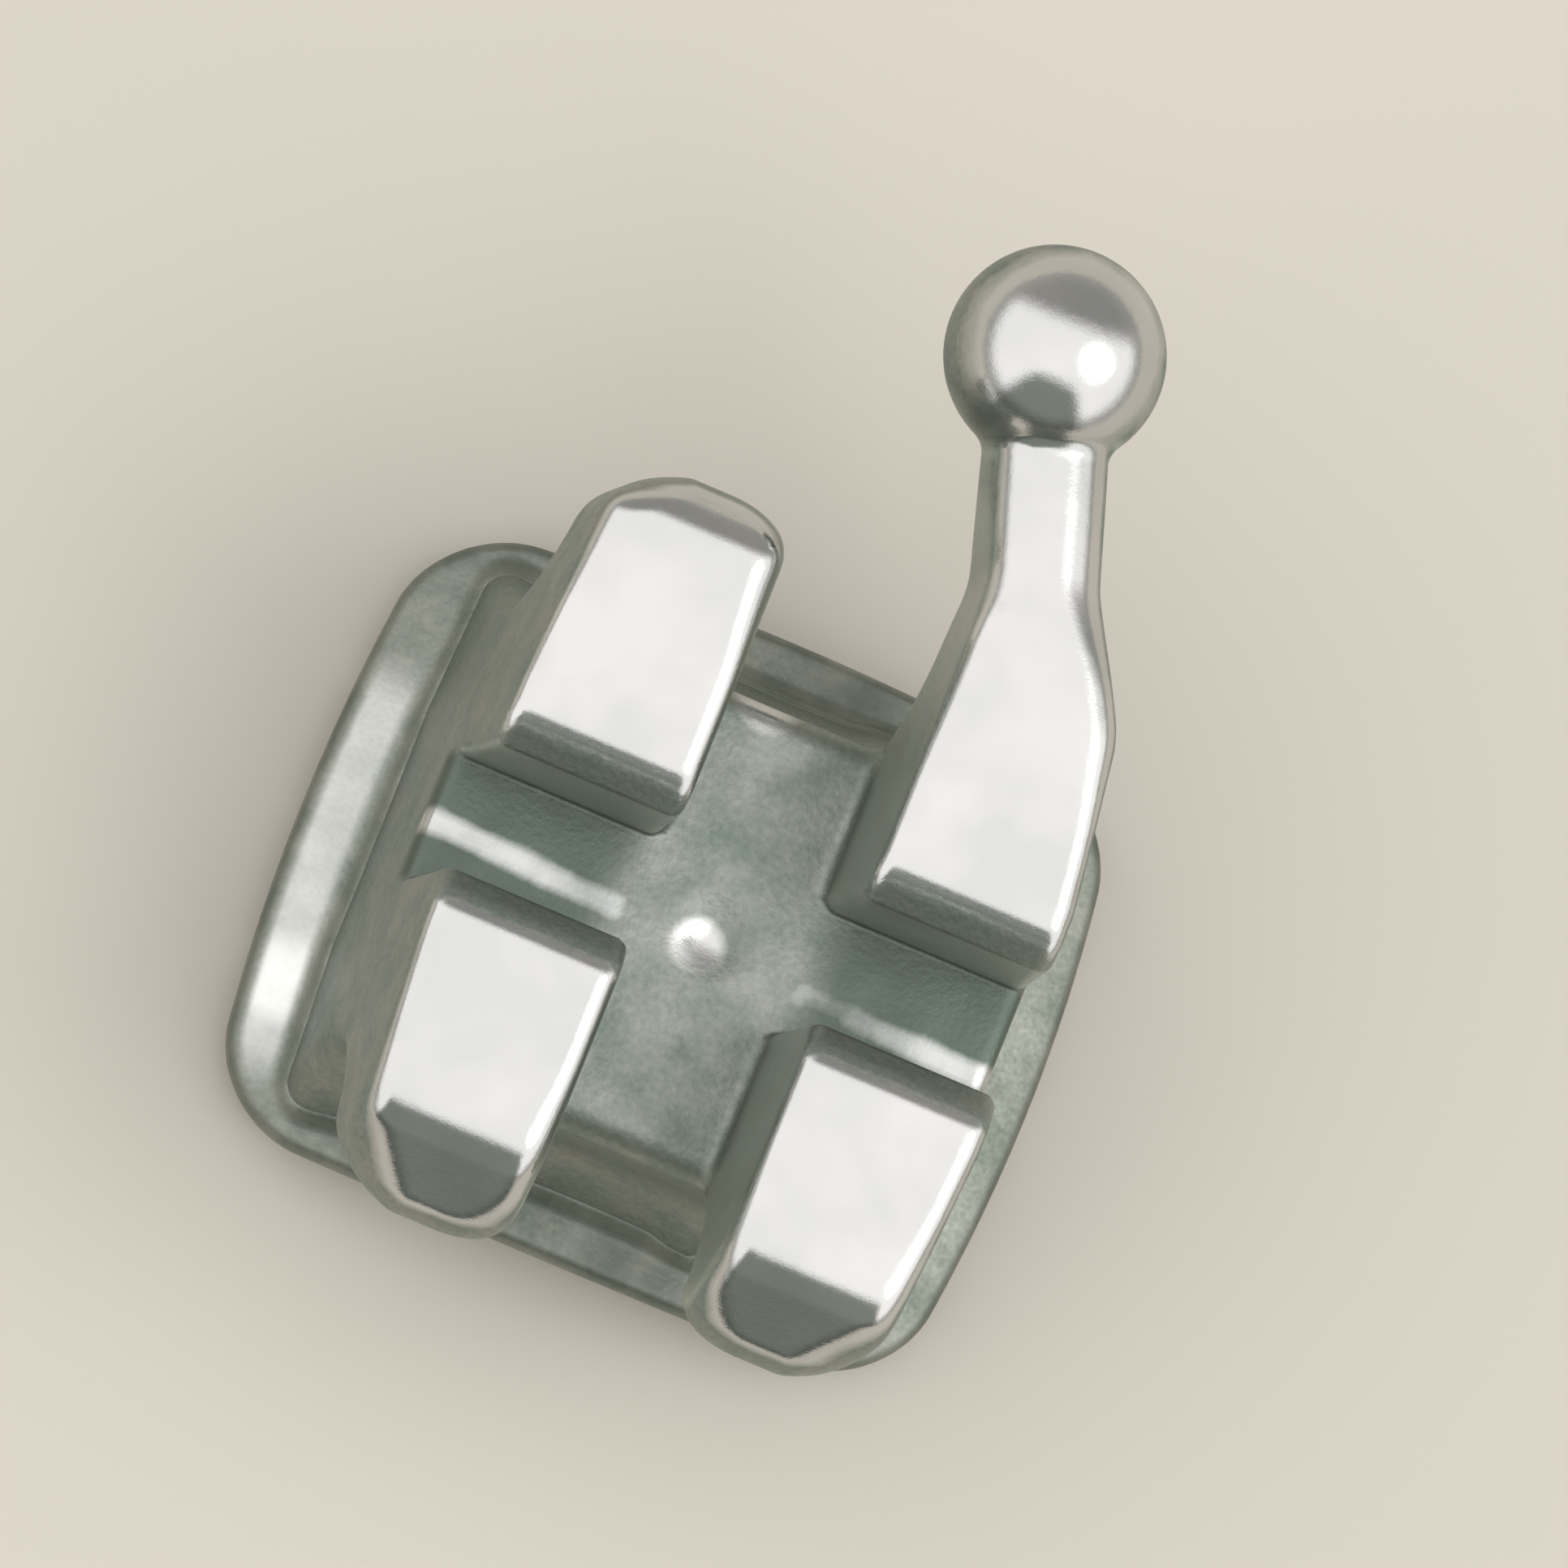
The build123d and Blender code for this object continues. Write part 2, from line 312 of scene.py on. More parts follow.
def skin_net(values, low, step):
    """Points and faces of the net, from the field's values at the grid's places. A cut at a share
    a / (a - b) of an edge lies where a straight line from value a to value b is zero."""
    cells = tuple(n - 1 for n in values.shape)
    total, count = np.zeros(cells + (3,)), np.zeros(cells)
    cuts = []
    for axis in range(3):
        one, two = (axis + 1) % 3, (axis + 2) % 3
        a = values.take(range(cells[axis]), axis)
        b = values.take(range(1, cells[axis] + 1), axis)
        at = np.argwhere((a < 0) != (b < 0))
        at = at[(at[:, one] > 0) & (at[:, two] > 0) & (at[:, one] < cells[one]) & (at[:, two] < cells[two])]
        start, end = a[tuple(at.T)], b[tuple(at.T)]
        place = at.astype(float)
        place[:, axis] += start / (start - end)
        around = []
        for back_one, back_two in ((1, 1), (0, 1), (0, 0), (1, 0)):
            cell = at.copy()
            cell[:, one] -= back_one
            cell[:, two] -= back_two
            np.add.at(total, tuple(cell.T), place)
            np.add.at(count, tuple(cell.T), 1)
            around.append(np.ravel_multi_index(cell.T, cells))
        around = np.stack(around, axis=1)
        outward = start < 0
        cuts.append(np.where(outward[:, None], around, around[:, ::-1]))
    used = count > 0
    number = np.cumsum(used.ravel()) - 1
    points = np.array(low) + step * total[used] / count[used][:, None]
    return points, number[np.concatenate(cuts)]


def slope(field, points, reach=0.004):
    """The field's slope: its change over a short reach each way along x, y and z, over that reach."""
    columns = []
    for shift in np.eye(3) * reach:
        ahead, behind = field(*(points + shift).T), field(*(points - shift).T)
        columns.append((ahead - behind) / (2 * reach))
    return np.stack(columns, axis=1)


def settle(field, points, steps):
    """Points moved down the slope: each step is the field's value over the slope's squared length."""
    for _ in range(steps):
        value, way = field(*points.T), slope(field, points)
        points = points - way * (value / np.maximum((way**2).sum(1), 0.25))[:, None]
    return points


# %% [markdown]
# ## Meshes
# One helper puts arrays into a mesh object, at the origin and in metres, smooth shaded, and hands it to
# the body that it belongs to.

# %% Arrays to an object


def make_piece(name, points, faces, material, node):
    """A mesh object from points in millimetres and faces that share one count of corners or more."""
    mesh = bpy.data.meshes.new(name)
    mesh.from_pydata(np.asarray(points) * MM, [], faces)
    mesh.polygons.foreach_set("use_smooth", np.ones(len(mesh.polygons), bool))
    mesh.materials.append(material)
    piece = bpy.data.objects.new(name, mesh)
    bpy.context.scene.collection.objects.link(piece)
    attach(piece, "root")
    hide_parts(node)
    print(name, len(mesh.vertices), "points,", len(mesh.polygons), "faces")
    return piece


# %% [markdown]
# ## Steel
# All three pieces are stainless steel, but each is finished its own way. The casting's open faces are
# tumbled bright, and its recesses keep the dull, grainy skin of the sintering. A value from 0 to 1 is
# stored at each of its points and mixes the two finishes. It also holds painted highlights, and painted
# shade where it leaves faces turned away and the slot's mouth dull. The fine grain comes from noise on
# the object's own coordinates, so it stays in place when the part is turned.

# %% Materials and their nodes


def node_adder(tree):
    """A function that adds a node to a tree and fills its inputs, each with a value or with a link."""
    def add(kind, **inputs):
        node = tree.nodes.new(kind)
        for key, value in inputs.items():
            fill(node, key.replace("_", " "), value)
        return node
    return add


def fill(node, key, value):
    """A link where the value is another node's output, else a plain value on the input."""
    if isinstance(value, bpy.types.NodeSocket):
        node.id_data.links.new(value, node.inputs[key])
    else:
        node.inputs[key].default_value = value


def join(output, socket):
    """A link from an output to an input of the shader."""
    output.node.id_data.links.new(output, socket)


def steel(name):
    """A new material with a metallic shader. Returns the material, its shader and its node adder."""
    material = bpy.data.materials.new(name)
    material.use_nodes = True
    shader = material.node_tree.nodes["Principled BSDF"]
    shader.inputs["Metallic"].default_value = 1.0
    return material, shader, node_adder(material.node_tree)


# %% [markdown]
# The patterns are built from a few kinds of node: noise of a given size, a range spread over another,
# plain sums, mixes of two colours, and a bump. Each gets a helper, so that a finish reads like a recipe.

# %% Noise, ranges, sums, mixes and bumps


def noise(add, coordinates, size, detail, roughness=0.55):
    """Noise whose blotches are about one size across, in millimetres, with a level of finer detail."""
    return add("ShaderNodeTexNoise", Vector=coordinates, Scale=1 / (size * MM), Detail=detail,
               Roughness=roughness).outputs[0]


def remap(add, value, low, high, to_low, to_high, eased=False):
    """A value's part between low and high spread over another range, and held at its ends."""
    node = add("ShaderNodeMapRange", Value=value, From_Min=low, From_Max=high, To_Min=to_low, To_Max=to_high)
    node.interpolation_type = "SMOOTHSTEP" if eased else "LINEAR"
    return node.outputs[0]


def calculate(add, operation, *values):
    """One sum on one or two values."""
    node = add("ShaderNodeMath")
    node.operation = operation
    for place, value in enumerate(values):
        fill(node, place, value)
    return node.outputs[0]


def mixed(add, share, first, second):
    """A colour that goes from the first to the second as the share goes from 0 to 1."""
    node = add("ShaderNodeMix")
    node.data_type = "RGBA"
    for place, value in ((0, share), (6, first), (7, second)):
        fill(node, place, value)
    return node.outputs[2]


def bump(add, heights, depth, normal=None):
    """A bump whose full height is a depth in millimetres."""
    node = add("ShaderNodeBump", Height=heights, Distance=depth * MM, Strength=1.0)
    if normal:
        fill(node, "Normal", normal)
    return node.outputs[0]


# %% [markdown]
# The casting's skin is sintered steel: green grey and brown grey blotches, grainy and rather matt. Three
# stored values change it. The first turns it into bright steel with a fine shine, for the tumbled faces
# and for painted highlights, and where it is low it leaves painted shade. The second is painted shade that
# darkens the slot's floor between the wings. The third paints the steep walls of the slot and the channel
# paler.

# %% The casting's finishes


def casting_steel():
    """Dull sintered steel, with painted shade on the slot's floor and paler walls, mixed with bright steel and
    painted highlights.
    """
    material, shader, add = steel("tumbled sintered steel")
    places = add("ShaderNodeTexCoord").outputs["Object"]
    # The first stored value: tumbled polish and painted highlights, and painted shade where it is low.
    worn = add("ShaderNodeAttribute")
    worn.attribute_name = "polish_and_painted_light"
    clouds = noise(add, places, 0.5, 2)
    blotches = noise(add, places, 0.24, 3)
    grain = noise(add, places, 0.03, 4, 0.6)
    fine = noise(add, places, 0.008, 2)
    ragged = remap(add, blotches, 0.3, 0.7, -0.12, 0.12)
    polish_and_painted_light = remap(add, calculate(add, "ADD", worn.outputs["Fac"], ragged), 0.15, 0.85, 0, 1)
    green = mixed(add, remap(add, grain, 0.3, 0.7, 0, 1), (0.21, 0.25, 0.22, 1), (0.27, 0.31, 0.275, 1))
    brown = mixed(add, remap(add, grain, 0.3, 0.7, 0, 1), (0.28, 0.295, 0.265, 1), (0.34, 0.35, 0.32, 1))
    dull = mixed(add, remap(add, blotches, 0.34, 0.66, 0, 1), green, brown)
    # Painted shade: the slot's floor between the wings is mixed towards dark green.
    dull_and_shaded = add("ShaderNodeAttribute")
    dull_and_shaded.attribute_name = "painted_slot_shade"
    dull = mixed(add, dull_and_shaded.outputs["Fac"], dull, (0.135, 0.165, 0.14, 1))
    # The steep walls of the slot and the channel are painted a paler green grey.
    pale_wall_share = add("ShaderNodeAttribute")
    pale_wall_share.attribute_name = "cut"
    pale_wall_steel = mixed(add, remap(add, blotches, 0.34, 0.66, 0, 1), (0.44, 0.49, 0.44, 1), (0.48, 0.50, 0.45, 1))
    dull = mixed(add, pale_wall_share.outputs["Fac"], dull, pale_wall_steel)
    bright = mixed(add, remap(add, clouds, 0.35, 0.65, 0, 1), (0.555, 0.555, 0.55, 1), (0.625, 0.62, 0.61, 1))
    matt = remap(add, blotches, 0.3, 0.7, 0.56, 0.44)
    shine = remap(add, grain, 0.3, 0.7, 0.10, 0.17)
    depth = calculate(add, "MULTIPLY", grain, remap(add, polish_and_painted_light, 0, 1, 1, 0.15))
    join(mixed(add, polish_and_painted_light, dull, bright), shader.inputs["Base Color"])
    join(mixed(add, polish_and_painted_light, matt, shine), shader.inputs["Roughness"])
    join(bump(add, fine, 0.0004, bump(add, depth, 0.0035)), shader.inputs["Normal"])
    return material


# %% [markdown]
# ## The casting
# The net's cells are 0.024 mm, a third of the worn edges' radius, so that the rounds are geometry. After
# two steps down the slope, every point lies on the skin.

# %% Build the casting
step = 0.024
lowest = np.array([-outer - 0.17, -tip_end, seat - 0.35])
highest = np.array([outer + 0.17, ball_reach + ball_diameter / 2 + 0.05, ball_z + ball_diameter / 2 + 0.05])
grid_x, grid_y, grid_z = (np.arange(a, b, step) for a, b in zip(lowest, highest))
values = casting_field(grid_x[:, None, None], grid_y[None, :, None], grid_z[None, None, :])
skin, quads = skin_net(values, lowest, step)
skin = settle(casting_field, skin, 2)
casting = make_piece("casting", skin, quads, casting_steel(), "bracket_body")

# %% [markdown]
# ## Where the casting is bright
# Tumbling stones polish what they reach: the wings' faces, the slot's lips, the arm and the ball. Paint
# by hand would drift from the shape, so each value is worked out at every point of the skin. At three
# distances straight out from the skin, the field says how much free room there is, and a place with less
# room than that distance lies in a recess that the stones don't reach. Its dullness is partly the
# sintered skin and partly painted shade. Faces that turn away from the front, the ball's sides among
# them, are kept dull and dark as painted shade. The slot's mouth below its lips is dull, partly the
# sintered skin and partly painted shade on the lead-ins.

# %% What the tumbling reaches, and where shade is painted
outward = slope(casting_field, skin, 0.01)
outward /= np.linalg.norm(outward, axis=1)[:, None]
stone_sizes = (0.15, 0.35, 0.7)
room = np.mean([np.clip(casting_field(*(skin + outward * h).T) / h, 0, 1) for h in stone_sizes], axis=0)
across, along, height = skin.T
facing = outward[:, 2]
# Painted shade: faces that turn away from the front stay dull and dark.
faces_out = past(facing, 0.36, 0.28)
# Painted shade: on the ball only the cap is bright, and its steep sides stay dull and dark.
cap_out = 0.9 * past(facing, 0.12, 0.66)
# Low places and places with little room stay dull: partly the sintered skin and partly painted shade.
open_front = past(room, 0.74, 0.12) * past(height, floor_z + 0.15, 0.3)
# The slot's mouth below its lips stays dull, partly the sintered skin and partly painted shade on the lead-ins. On
# the gum side the bright lip reaches 0.08 mm down, on the other side 0.005 mm.
bright_lip_depth = np.where(along > 0, 0.08, 0.005)
in_mouth = short_of(height, face_z - bright_lip_depth, 0.025) * short_of(np.abs(along), high + 0.05, 0.03)
arm = past(along, 1.7, 0.2)
from_ball = np.sqrt((across - ball_shift) ** 2 + (along - ball_reach) ** 2 + (height - ball_z) ** 2)
ball_skin = short_of(from_ball, ball_diameter / 2 + 0.03, 0.03)
print("tumbled bright:", round(100 * float((faces_out * open_front > 0.5).mean())), "% of the points")
# The bright share: tumbling, less the painted shade on faces turned away, in the slot's mouth and on the ball's
# sides.
tumbled = faces_out * np.maximum(open_front * (1 - in_mouth), arm * (1 - ball_skin))
tumbled = np.maximum(tumbled, cap_out * ball_skin)

# %% [markdown]
# A painted highlight runs as a streak along the slot's floor, brighter towards the ends, and painted
# highlights lie on the dimple and on the saddle's gum end. Painted shade darkens the floor between the
# wings, and the steep walls are painted paler.

# %% Painted highlights, painted shade and paler walls


def patch(middle, reach, soft):
    """A round patch seen from the front: 1 within the reach less its soft border, 0 beyond the reach."""
    return short_of(np.hypot(across - middle[0], along - middle[1]), reach, soft)


off_floor = np.abs(height - floor_z)
on_floor = short_of(off_floor, 0.18, 0.10)
outer_end = past(np.abs(across), 0.55, 0.6)
# Painted highlight: a streak along the slot's floor, brighter towards its outer ends.
from_floor_streak = np.abs(along + 0.075 + 0.04 * across)
painted_floor_streak = short_of(from_floor_streak, 0.09, 0.07) * past(np.abs(across), inner - 0.05, 0.06)
painted_floor_streak *= np.where(across < 0, 0.55 + 0.25 * outer_end, 0.25 + 0.45 * outer_end)
# Painted highlights: a spot on the dimple, off its middle, and a patch at the saddle's gum end.
painted_dimple_highlight = 0.95 * patch((-0.045, -0.07), 0.16, 0.10)
painted_gum_end_glint = 0.75 * patch((-0.16, 1.03), 0.22, 0.14) * short_of(off_floor, 0.35, 0.1)
polish_and_painted_light = np.maximum.reduce([tumbled, np.maximum(painted_floor_streak, painted_dimple_highlight) * on_floor, painted_gum_end_glint])
# Painted shade on the slot's floor between the wings.
painted_slot_shade = past(np.abs(across), inner - 0.08, 0.25) * short_of(np.abs(along), low + 0.03, 0.05) * on_floor
# The steep walls above the slot's floor, where room is small, are painted paler.
walls = short_of(facing, 0.55, 0.3) * past(height, floor_z - 0.03, 0.08) * (1 - past(room, 0.8, 0.15))

for name, value in (("polish_and_painted_light", polish_and_painted_light), ("painted_slot_shade", painted_slot_shade), ("cut", walls)):
    casting.data.attributes.new(name, "FLOAT", "POINT").data.foreach_set("value", value.astype(np.float32))
    print(name, "has a mean of", round(float(value.mean()), 2))

# %% [markdown]
# ## The foil
# The foil is a thin curved plate. Its shell is a profile carried round the pad's outline: out from the
# middle along the front, round the rim, and back to the middle along the back. The front rises in a small
# bead against the casting's foot, where the brazing metal has run.

# %% Shells from rings


def closed_shell(rings, start_pole, end_pole):
    """Rings of points joined side by side into four-sided faces, with a fan of triangles to a pole at each end."""
    count, around = rings.shape[:2]
    points = np.concatenate([rings.reshape(-1, 3), [start_pole, end_pole]])
    here = np.arange(around)
    there = np.roll(here, -1)
    rows = np.arange(count - 1)[:, None] * around
    quads = np.stack([rows + here, rows + there, rows + there + around, rows + here + around], axis=-1)
    last = (count - 1) * around
    first_fan = np.stack([np.full(around, count * around), there, here], axis=-1)
    last_fan = np.stack([np.full(around, count * around + 1), last + here, last + there], axis=-1)
    return points, quads.reshape(-1, 4).tolist() + first_fan.tolist() + last_fan.tolist()


def front_height(x, y, clearance):
    """The height of the tooth's front grown by a clearance: the ring's height at x, turned round the far
    axis at y."""
    ring = tooth_major - tooth_minor + np.sqrt((tooth_minor + clearance) ** 2 - x**2)
    return apex - tooth_major + np.sqrt(ring**2 - y**2)


# %% [markdown]
# The pad's outline is four shallow arcs with rounded corners. As a distance, it rounds its corners with
# the same formula as the casting's edges, and it also says later how far a place is from the rim.

# %% The pad's outline


def pad_distance(x, y):
    """How far a place is outside the pad's outline: four shallow arcs through the bowed sides' middles, with
    the corners rounded. The radius of an arc is half its chord squared plus its bow squared, over twice the bow."""
    half_w, half_h = pad_width / 2, pad_height / 2
    corner_x, corner_y = half_w - side_bow, half_h - end_bow
    side_radius = (corner_y**2 + side_bow**2) / (2 * side_bow)
    end_radius = (corner_x**2 + end_bow**2) / (2 * end_bow)
    beyond_side = np.hypot(np.abs(x) - half_w + side_radius, y) - side_radius
    beyond_end = np.hypot(x, np.abs(y) - half_h + end_radius) - end_radius
    return both(beyond_side, beyond_end, pad_corner)


def pad_rim(count):
    """The outline as evenly spaced points: along each of many rays the distance is tried, and it is zero there."""
    angles = np.linspace(0, 2 * np.pi, 7200, endpoint=False)
    rays = np.stack([np.cos(angles), np.sin(angles)], axis=1)
    reach = np.linspace(0.6, 2.4, 2401)[:, None]
    inside = pad_distance(reach * rays[:, 0], reach * rays[:, 1]) < 0
    edge = rays * (reach[:, 0][inside.sum(0) - 1])[:, None]
    closed = np.vstack([edge, edge[:1]])
    run = np.concatenate([[0], np.cumsum(np.hypot(*np.diff(closed, axis=0).T))])
    even = np.linspace(0, run[-1], count, endpoint=False)
    return np.stack([np.interp(even, run, closed[:, k]) for k in range(2)], axis=1)


# %% [markdown]
# The rings of the shell are closest together at the rim, where the foil turns over its edge. The casting's
# field says how near its foot is, and the braze rises there in a small hollow curve.

# %% The foil's shell
braze_round, rim_round = 0.07, 0.045


def foil_shell(around=400, front_rings=89, rim_rings=7, back_rings=23):
    """Rings of the foil, each the rim's outline at a share of its distance, less an inset, at a clearance
    above the tooth. Where the casting is near, the braze adds its nearness squared to the height."""
    rim = pad_rim(around)
    normal = np.stack([np.roll(rim, -1, 0)[:, 1] - np.roll(rim, 1, 0)[:, 1],
                       np.roll(rim, 1, 0)[:, 0] - np.roll(rim, -1, 0)[:, 0]], axis=1)
    normal /= np.hypot(*normal.T)[:, None]
    front, back = foil_thickness + weave_thickness, weave_thickness
    rings = [(share, rim_round, front) for share in np.linspace(0.04, 1, front_rings + 1)[:-1]]
    rings += [(1, rim_round * (1 - np.cos(t)), front - rim_round * (1 - np.sin(t)))
              for t in np.radians(np.linspace(90, 0, rim_rings))]
    rings += [(share, 0.0, back) for share in np.linspace(1, 0.05, back_rings)]
    shares, insets, clearances = (np.array(v)[:, None] for v in zip(*rings))
    flat = (rim[None] - normal[None] * insets[..., None]) * shares[..., None]
    height = front_height(flat[..., 0], flat[..., 1], clearances)
    foot = casting_field(flat[..., 0].ravel(), flat[..., 1].ravel(), height.ravel() + 0.03).reshape(height.shape)
    near = np.clip(braze_round - foot, 0, braze_round)
    bead = near**2 / braze_round * 0.85
    height = height + bead * (clearances >= front - 1e-9)
    middle = [np.array([0, 0, front_height(0.0, 0.0, c)]) for c in (front, back)]
    return closed_shell(np.concatenate([flat, height[..., None]], axis=-1), *middle), foot


def painted_rim_highlight(points, foot):
    """The painted highlight on the foil: a strip along the mesial rim, kept off the casting's foot, brightest near
    its occlusal end.
    """
    x, y = points[:, 0], points[:, 1]
    from_rim = pad_distance(x, y)
    strip = past(from_rim, -0.27, 0.07) * short_of(from_rim, -0.03, 0.04)
    strip *= short_of(x, -1.0, 0.2) * past(foot, 0.04, 0.05)
    lengthwise = short_of(y, 0.80, 0.35) * past(y, -1.25, 0.25)
    spot = short_of(np.abs(y + 0.74), 0.24, 0.14)
    return strip * lengthwise * (0.55 + 0.45 * spot)


# %% [markdown]
# The foil is rolled sheet, so it has fine lines along one direction under a soft mottling. A bright strip
# along its mesial rim is a painted highlight. Elsewhere the foil is darker: its dull finish, with painted
# shade next to the casting's foot.

# %% The foil's steel


def foil_steel():
    """Rolled foil: fine lines along the slot and a soft mottling, bright where the painted rim highlight lies."""
    material, shader, add = steel("rolled steel foil")
    rim_highlight_value = add("ShaderNodeAttribute")
    rim_highlight_value.attribute_name = "rim_highlight"
    share = rim_highlight_value.outputs["Fac"]
    places = add("ShaderNodeTexCoord").outputs["Object"]
    stretched = add("ShaderNodeMapping", Vector=places, Scale=(0.06, 1, 1)).outputs[0]
    lines = noise(add, stretched, 0.02, 4)
    mottle = noise(add, places, 0.22, 3)
    grain = noise(add, places, 0.025, 3)
    # The darker foil: its dull finish, which also stands for the shade next to the casting's foot.
    dull_and_shaded = mixed(add, remap(add, mottle, 0.35, 0.65, 0, 1), (0.19, 0.215, 0.185, 1), (0.29, 0.30, 0.265, 1))
    bright = mixed(add, remap(add, mottle, 0.3, 0.7, 0, 1), (0.66, 0.66, 0.65, 1), (0.76, 0.76, 0.74, 1))
    join(mixed(add, share, dull_and_shaded, bright), shader.inputs["Base Color"])
    matt, shine = remap(add, grain, 0.3, 0.7, 0.4, 0.55), remap(add, grain, 0.3, 0.7, 0.20, 0.30)
    join(mixed(add, share, matt, shine), shader.inputs["Roughness"])
    join(bump(add, lines, 0.0010, bump(add, grain, 0.0015)), shader.inputs["Normal"])
    return material


(foil_points, foil_faces), foil_foot = foil_shell()
foil = make_piece("foil", foil_points, foil_faces, foil_steel(), "base_pad")
foil_rim_highlight = painted_rim_highlight(foil_points, np.append(foil_foot.ravel(), [0, 0]))
foil.data.attributes.new("rim_highlight", "FLOAT", "POINT").data.foreach_set("value", foil_rim_highlight.astype(np.float32))

# %% [markdown]
# ## The woven mesh
# The mesh is a plain weave with 80 wires to the inch, pressed flat and bonded under the foil. Each wire is
# an ellipse carried along a wave: it passes over one wire and under the next, and it follows the tooth's
# curve. Wires next to each other are half a wave apart. The ends are cut off at the foil's rim.

# %% Wires along and across
wire_rise = weave_thickness / 4
sides = 12


def wire(across_at, phase, reach, turned):
    """One wire. Along it runs s from minus reach to reach, and its middle's clearance above the tooth is
    half the weave's thickness plus the rise times cos(pi s / pitch + phase). An ellipse stands across it."""
    s = np.linspace(-reach, reach, int(2 * reach / mesh_pitch * 16))[:, None]
    angle = np.linspace(0, 2 * np.pi, sides + 1)[None, :-1]
    across = across_at + wire_width / 2 * np.cos(angle) + 0 * s
    clearance = weave_thickness / 2 + wire_rise * np.cos(np.pi * s / mesh_pitch + phase) + wire_rise * np.sin(angle)
    along = s + 0 * angle
    x, y = (across, along) if turned else (along, across)
    rings = np.stack([x, y, front_height(x, y, clearance)], axis=-1)
    rings = rings if turned else rings[:, ::-1]
    return closed_shell(rings, rings[0].mean(0), rings[-1].mean(0))


def weave():
    """All wires of both sets as one mesh, each as long as the rim allows at its place."""
    rim = pad_rim(2000) * (1 - 0.012)
    points, faces, used = [], [], 0
    for turned in (False, True):
        along, across = (rim[:, 1], rim[:, 0]) if turned else (rim[:, 0], rim[:, 1])
        most = int(across.max() / mesh_pitch)
        for k in range(-most, most + 1):
            band = np.abs(across - k * mesh_pitch) < wire_width / 2
            reach = np.abs(along[band]).min()
            if reach < mesh_pitch:
                continue
            phase = np.pi * (k % 2) + (np.pi if turned else 0)
            wire_points, wire_faces = wire(k * mesh_pitch, phase, reach, turned)
            points.append(wire_points)
            faces += [[corner + used for corner in face] for face in wire_faces]
            used += len(wire_points)
    return np.concatenate(points), faces


def wire_steel():
    """Drawn wire: pale and darker in soft blotches, with a fine grain."""
    material, shader, add = steel("woven steel wire")
    places = add("ShaderNodeTexCoord").outputs["Object"]
    mottle = noise(add, places, 0.12, 3)
    grain = noise(add, places, 0.015, 3)
    join(mixed(add, remap(add, mottle, 0.3, 0.7, 0, 1), (0.38, 0.39, 0.37, 1), (0.56, 0.56, 0.53, 1)),
         shader.inputs["Base Color"])
    join(remap(add, grain, 0.3, 0.7, 0.3, 0.45), shader.inputs["Roughness"])
    join(bump(add, grain, 0.002), shader.inputs["Normal"])
    return material


mesh_points, mesh_faces = weave()
woven = make_piece("woven_mesh", mesh_points, mesh_faces, wire_steel(), "base_mesh")

# %% [markdown]
# ## Floor
# The bracket stands on its back on a pale, slightly warm matt floor. The floor is a wide plane at height
# zero, where the corners of the base touch it.

# %% Build the floor
floor_reach = 2.0
floor_mesh = bpy.data.meshes.new("floor")
floor_mesh.from_pydata([(-floor_reach, -floor_reach, 0), (floor_reach, -floor_reach, 0),
                        (floor_reach, floor_reach, 0), (-floor_reach, floor_reach, 0)], [], [(0, 1, 2, 3)])
floor = bpy.data.objects.new("floor", floor_mesh)
bpy.context.scene.collection.objects.link(floor)
floor_paint = bpy.data.materials.new("pale floor paint")
floor_paint.use_nodes = True
floor_shader = floor_paint.node_tree.nodes["Principled BSDF"]
floor_shader.inputs["Base Color"].default_value = (0.64, 0.60, 0.53, 1)
floor_shader.inputs["Roughness"].default_value = 0.9
floor_mesh.materials.append(floor_paint)

# %% [markdown]
# ## Camera
# The photograph looks down on the bracket, 78 degrees above the floor and from 42 degrees round to the
# side, from 165 mm away, and the slot runs down to the right by 23 degrees. The camera's three axes are
# built from those numbers. A long lens fills the picture with the bracket from the same distance.

# %% Build the camera
azimuth, elevation, slot_turn = np.radians([-42.0, 78.3, 23.0])
distance, picture_width, sensor_width = 0.165, 0.0066, 36
back = np.array([np.sin(azimuth) * np.cos(elevation), -np.cos(azimuth) * np.cos(elevation), np.sin(elevation)])
level = np.array([1.0, 0, 0]) - back * back[0]
level /= np.linalg.norm(level)
right = np.cos(slot_turn) * level + np.sin(slot_turn) * np.cross(back, level)
up = np.cross(back, right)
aim = np.array([0.00005, 0.00072, 0.0013])
camera_data = bpy.data.cameras.new("camera")
camera_data.sensor_width = sensor_width
camera_data.lens = sensor_width * distance / picture_width
camera_data.clip_start, camera_data.clip_end = 0.001, 20
camera = bpy.data.objects.new("camera", camera_data)
rows = np.stack([right, up, back, aim + distance * back], axis=1).tolist()
camera.matrix_world = Matrix(rows + [[0, 0, 0, 1]])
bpy.context.scene.collection.objects.link(camera)
bpy.context.scene.camera = camera

# %% [markdown]
# ## Light
# Polished steel shows what stands round it, so the light is a tent: pale cloth all round and overhead, with
# an opening on the occlusal side and dimmer cloth towards the gum. The wings' flat faces mirror the cloth
# overhead and look white, and their sloping facets mirror the opening and look dark. The world's shader
# makes the tent from the direction alone.

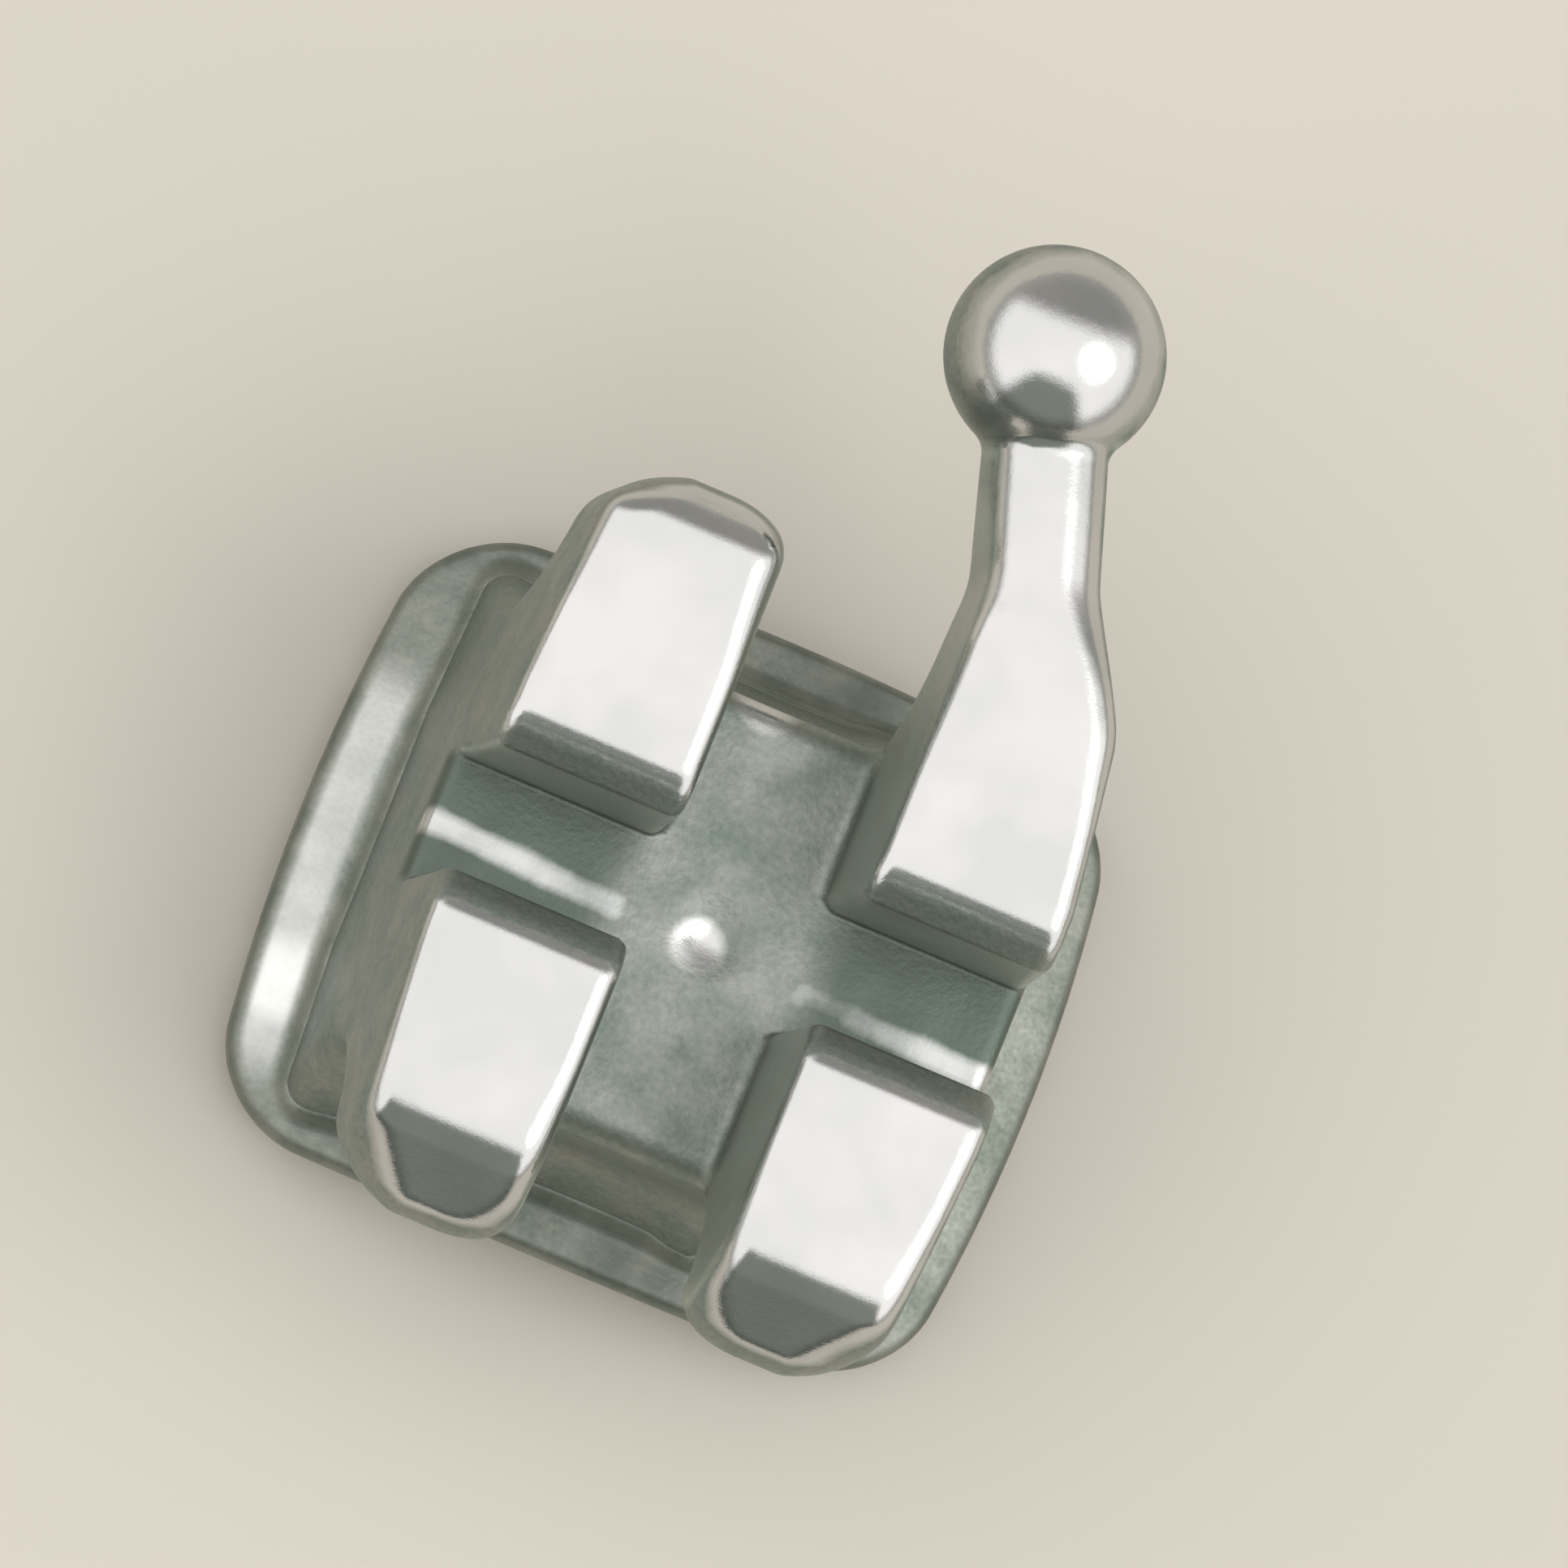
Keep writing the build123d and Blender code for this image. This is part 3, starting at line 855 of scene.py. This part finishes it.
# %% Build the light tent
world = bpy.data.worlds.new("light tent")
world.use_nodes = True
add = node_adder(world.node_tree)
direction = add("ShaderNodeSeparateXYZ", Vector=add("ShaderNodeTexCoord").outputs["Generated"])
aside, gumward, upward = direction.outputs
occlusal = calculate(add, "MULTIPLY", gumward, -1.0)
off_middle = calculate(add, "ABSOLUTE", calculate(add, "SUBTRACT", aside, 0.05))
within = calculate(add, "SUBTRACT", occlusal, calculate(add, "MULTIPLY", off_middle, 1.25))
opening = calculate(add, "MULTIPLY", remap(add, occlusal, 0.40, 0.62, 0, 1, True),
                    remap(add, within, -0.14, 0.20, 0, 1, True))
low_cloth = remap(add, upward, 0.34, 0.04, 0, 1, True)
gum_side = remap(add, gumward, 0.36, 0.68, 0, 1, True)
under = remap(add, upward, 0.0, -0.15, 0, 1, True)
in_opening = mixed(add, low_cloth, (0.29, 0.32, 0.28, 1), (0.12, 0.135, 0.11, 1))
cloth = mixed(add, gum_side, (1.40, 1.39, 1.365, 1), (0.40, 0.395, 0.37, 1))
cloth = mixed(add, low_cloth, cloth, (0.46, 0.46, 0.42, 1))
cloth = mixed(add, opening, cloth, in_opening)
cloth = mixed(add, under, cloth, (0.80, 0.79, 0.77, 1))
join(cloth, world.node_tree.nodes["Background"].inputs["Color"])
bpy.context.scene.world = world
bpy.context.scene.view_settings.view_transform = "Standard"
print("light tent with", len(world.node_tree.nodes), "nodes")

# %% [markdown]
# A round lamp shines through the cloth from high on the right. It gives the worn edges on that side their
# brighter line, and the floor a soft shadow on the other side.

# %% Hang the lamp


def soft_lamp(name, way, away, width, radiance):
    """A round lamp that far away in a direction, facing the bracket. Its power is the radiance times pi
    times its area."""
    lamp_data = bpy.data.lights.new(name, "AREA")
    lamp_data.shape = "DISK"
    lamp_data.size = width
    lamp_data.energy = radiance * np.pi * np.pi * width**2 / 4
    lamp = bpy.data.objects.new(name, lamp_data)
    lamp.rotation_euler = Vector(way).to_track_quat("Z", "Y").to_euler()
    lamp.location = Vector(way).normalized() * away
    bpy.context.scene.collection.objects.link(lamp)
    return lamp


key_lamp = soft_lamp("key lamp", (0.56, 0.04, 0.79), 0.5, 0.34, 1.3)
print(key_lamp.name, "of", round(key_lamp.data.energy, 2), "watts")
